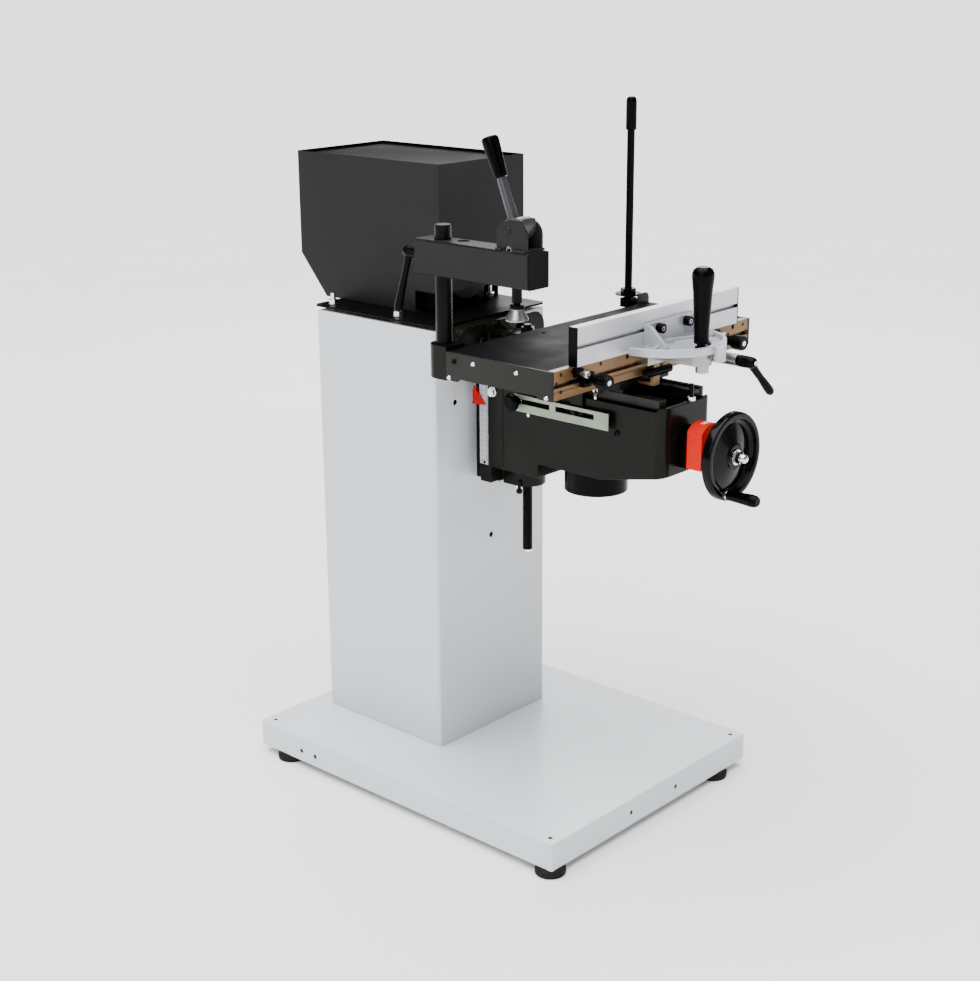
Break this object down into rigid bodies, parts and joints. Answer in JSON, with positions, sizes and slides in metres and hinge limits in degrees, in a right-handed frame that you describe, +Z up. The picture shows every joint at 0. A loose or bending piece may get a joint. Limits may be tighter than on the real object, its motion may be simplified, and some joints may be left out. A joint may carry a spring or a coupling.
{
  "type": "horizontal slot mortiser",
  "caption": "Floor-standing horizontal slot mortiser: sheet column, motor head, rising knee, cross-slide table with control lever, cam clamp and mitre fence.",
  "frame": {"origin": "centre of the base tray's footprint, on the floor under the rubber feet", "axes": "+Z up, -Y towards the operator and the handwheel, +X to the operator's right"},
  "size_m": [0.631, 1.0943, 1.341],
  "materials": {
    "painted_light": "gloss powder coat",
    "painted_dark": "satin powder coat",
    "cast_green": "satin paint over casting",
    "black_metal": "black oxide",
    "steel": "machined steel",
    "chrome": "polished chrome",
    "alu": "anodised",
    "brass": "bronze",
    "gold": "yellow zinc plate",
    "zinc": "light green zinc",
    "red": "gloss",
    "knob": "moulded black",
    "orange": "moulded orange",
    "rubber": "matt",
    "motor": "painted casting",
    "table": "dark hard coat"
  },
  "bodies": {
    "stand": {"base_tray": "painted_light", "levelling_feet": "rubber", "column_shell": "painted_light", "motor_plate": "black_metal", "stand_bolts": "steel", "motor_hood": "painted_dark", "motor_body": "motor", "way_casting": "cast_green", "scale_pointer": "red", "lift_screw": "black_metal"},
    "spindle": {"spindle_chuck": "steel"},
    "knee": {"knee_casting": "cast_green", "knee_gib": "steel", "knee_bolts": "chrome", "height_scale": "alu", "chip_spigot": "black_metal", "lift_bearings": "brass", "indicator_flange": "black_metal", "indicator_housing": "orange", "cross_ways": "steel", "joystick_anchor": "cast_green"},
    "lift_nut": {"lift_nut_gear": "brass"},
    "handwheel": {"handwheel": "knob", "hub_nut": "chrome", "drive_shaft": "steel", "bevel_pinion": "steel"},
    "crank": {"crank_grip": "knob"},
    "travel_stop": {"stop_plate": "zinc"},
    "stop_knob": {"stop_plate_knob": "knob"},
    "wing_screw": {"wing_screw": "chrome"},
    "carriage": {"cross_carriage": "cast_green", "stop_tab": "gold"},
    "table": {"table_top": "table", "side_plates": "painted_dark", "front_rail": "gold", "post_block": "cast_green", "table_rods": "steel", "table_screws": "chrome", "lever_bracket": "painted_dark"},
    "lever_yoke": {"lever_yoke": "black_metal"},
    "joystick": {"joystick_lever": "black_metal", "joystick_grip": "knob"},
    "post": {"clamp_post": "steel"},
    "arm": {"clamp_arm": "painted_dark", "arm_end_cap": "knob", "cam_bracket": "painted_dark"},
    "arm_lock": {"arm_lock_lever": "knob"},
    "cam": {"cam_lever": "steel", "cam_grip": "knob"},
    "plunger": {"plunger": "steel", "pressure_foot": "steel"},
    "mitre_slide": {"mitre_slide": "cast_green"},
    "mitre": {"mitre_head": "alu", "fence_profile": "alu", "fence_caps": "knob"},
    "mitre_handle": {"mitre_handle": "knob"},
    "mitre_lock": {"mitre_lock_lever": "knob"},
    "left_stop": {"rail_stop_left": "knob"},
    "right_stop": {"rail_stop_right": "knob"}
  },
  "joints": [
    {"name": "knee_lift", "type": "slide", "parent": "stand", "child": "knee", "axis": [0, 0, 1], "range_m": [-0.06, 0.05]},
    {"name": "handwheel_spin", "type": "hinge", "parent": "knee", "child": "handwheel", "pos_m": [0.008, -0.552, 0.761], "axis": [0, 1, 0], "range_deg": [-5410, 4510]},
    {"name": "lift_nut_spin", "type": "hinge", "parent": "knee", "child": "lift_nut", "pos_m": [0.008, -0.068, 0.737], "axis": [0, 0, 1], "range_deg": [-4510, 5410]},
    {"name": "crank_grip_spin", "type": "hinge", "parent": "handwheel", "child": "crank", "pos_m": [-0.01747, -0.552, 0.69795], "axis": [0, 1, 0], "continuous": true},
    {"name": "spindle_spin", "type": "hinge", "parent": "stand", "child": "spindle", "pos_m": [0.0455, 0.06, 1.029], "axis": [0, 1, 0], "continuous": true},
    {"name": "cross_slide", "type": "slide", "parent": "knee", "child": "carriage", "axis": [0, 1, 0], "range_m": [-0.04, 0.04]},
    {"name": "table_slide", "type": "slide", "parent": "carriage", "child": "table", "axis": [1, 0, 0], "range_m": [-0.08, 0.08]},
    {"name": "lever_fore_aft", "type": "hinge", "parent": "table", "child": "lever_yoke", "pos_m": [0.28, -0.099, 0.938], "axis": [1, 0, 0], "range_deg": [-8, 8]},
    {"name": "lever_side", "type": "hinge", "parent": "lever_yoke", "child": "joystick", "pos_m": [0.28, -0.099, 0.938], "axis": [0, 1, 0], "range_deg": [-16, 16]},
    {"name": "post_swivel", "type": "hinge", "parent": "table", "child": "post", "pos_m": [-0.26, -0.105, 0.939], "axis": [0, 0, 1], "range_deg": [-45, 60]},
    {"name": "arm_height", "type": "slide", "parent": "post", "child": "arm", "axis": [0, 0, 1], "range_m": [-0.04, 0.02]},
    {"name": "arm_lock_turn", "type": "hinge", "parent": "arm", "child": "arm_lock", "pos_m": [-0.26, -0.06, 1.101], "axis": [0, 1, 0], "range_deg": [-60, 60]},
    {"name": "cam_lever_swing", "type": "hinge", "parent": "arm", "child": "cam", "pos_m": [-0.26, -0.276, 1.166], "axis": [1, 0, 0], "range_deg": [0, 100]},
    {"name": "plunger_travel", "type": "slide", "parent": "arm", "child": "plunger", "axis": [0, 0, 1], "range_m": [-0.0125, 0.001]},
    {"name": "mitre_travel", "type": "slide", "parent": "table", "child": "mitre_slide", "axis": [1, 0, 0], "range_m": [-0.06, 0.06]},
    {"name": "mitre_swivel", "type": "hinge", "parent": "mitre_slide", "child": "mitre", "pos_m": [0.008, -0.394, 0.945], "axis": [0, 0, 1], "range_deg": [-45, 45]},
    {"name": "mitre_handle_turn", "type": "hinge", "parent": "mitre_slide", "child": "mitre_handle", "pos_m": [0.008, -0.471, 1], "axis": [0, 0, 1], "range_deg": [-90, 90]},
    {"name": "mitre_lock_turn", "type": "hinge", "parent": "mitre_slide", "child": "mitre_lock", "pos_m": [0.085, -0.498, 0.913], "axis": [0, -1, 0], "range_deg": [0, 60]},
    {"name": "left_stop_slide", "type": "slide", "parent": "table", "child": "left_stop", "axis": [1, 0, 0], "range_m": [-0.03, 0.02]},
    {"name": "right_stop_slide", "type": "slide", "parent": "table", "child": "right_stop", "axis": [1, 0, 0], "range_m": [-0.03, 0.03]},
    {"name": "stop_plate_slide", "type": "slide", "parent": "knee", "child": "travel_stop", "axis": [0, 1, 0], "range_m": [-0.01, 0.03]},
    {"name": "stop_plate_knob_turn", "type": "hinge", "parent": "knee", "child": "stop_knob", "pos_m": [-0.08, -0.115, 0.806], "axis": [1, 0, 0], "range_deg": [-180, 180]},
    {"name": "wing_screw_turn", "type": "hinge", "parent": "carriage", "child": "wing_screw", "pos_m": [-0.068, -0.297, 0.85], "axis": [0, 0, 1], "range_deg": [-90, 90]}
  ],
  "couplings": [
    {"joint": "handwheel_spin", "follows": "knee_lift", "rad_per_m": 1570.8},
    {"joint": "lift_nut_spin", "follows": "knee_lift", "rad_per_m": -1570.8},
    {"joint": "lever_fore_aft", "follows": "cross_slide", "rad_per_m": -3.3898},
    {"joint": "lever_side", "follows": "table_slide", "rad_per_m": 3.3898},
    {"joint": "plunger_travel", "follows": "cam_lever_swing", "m_per_rad": -0.0068755}
  ]
}
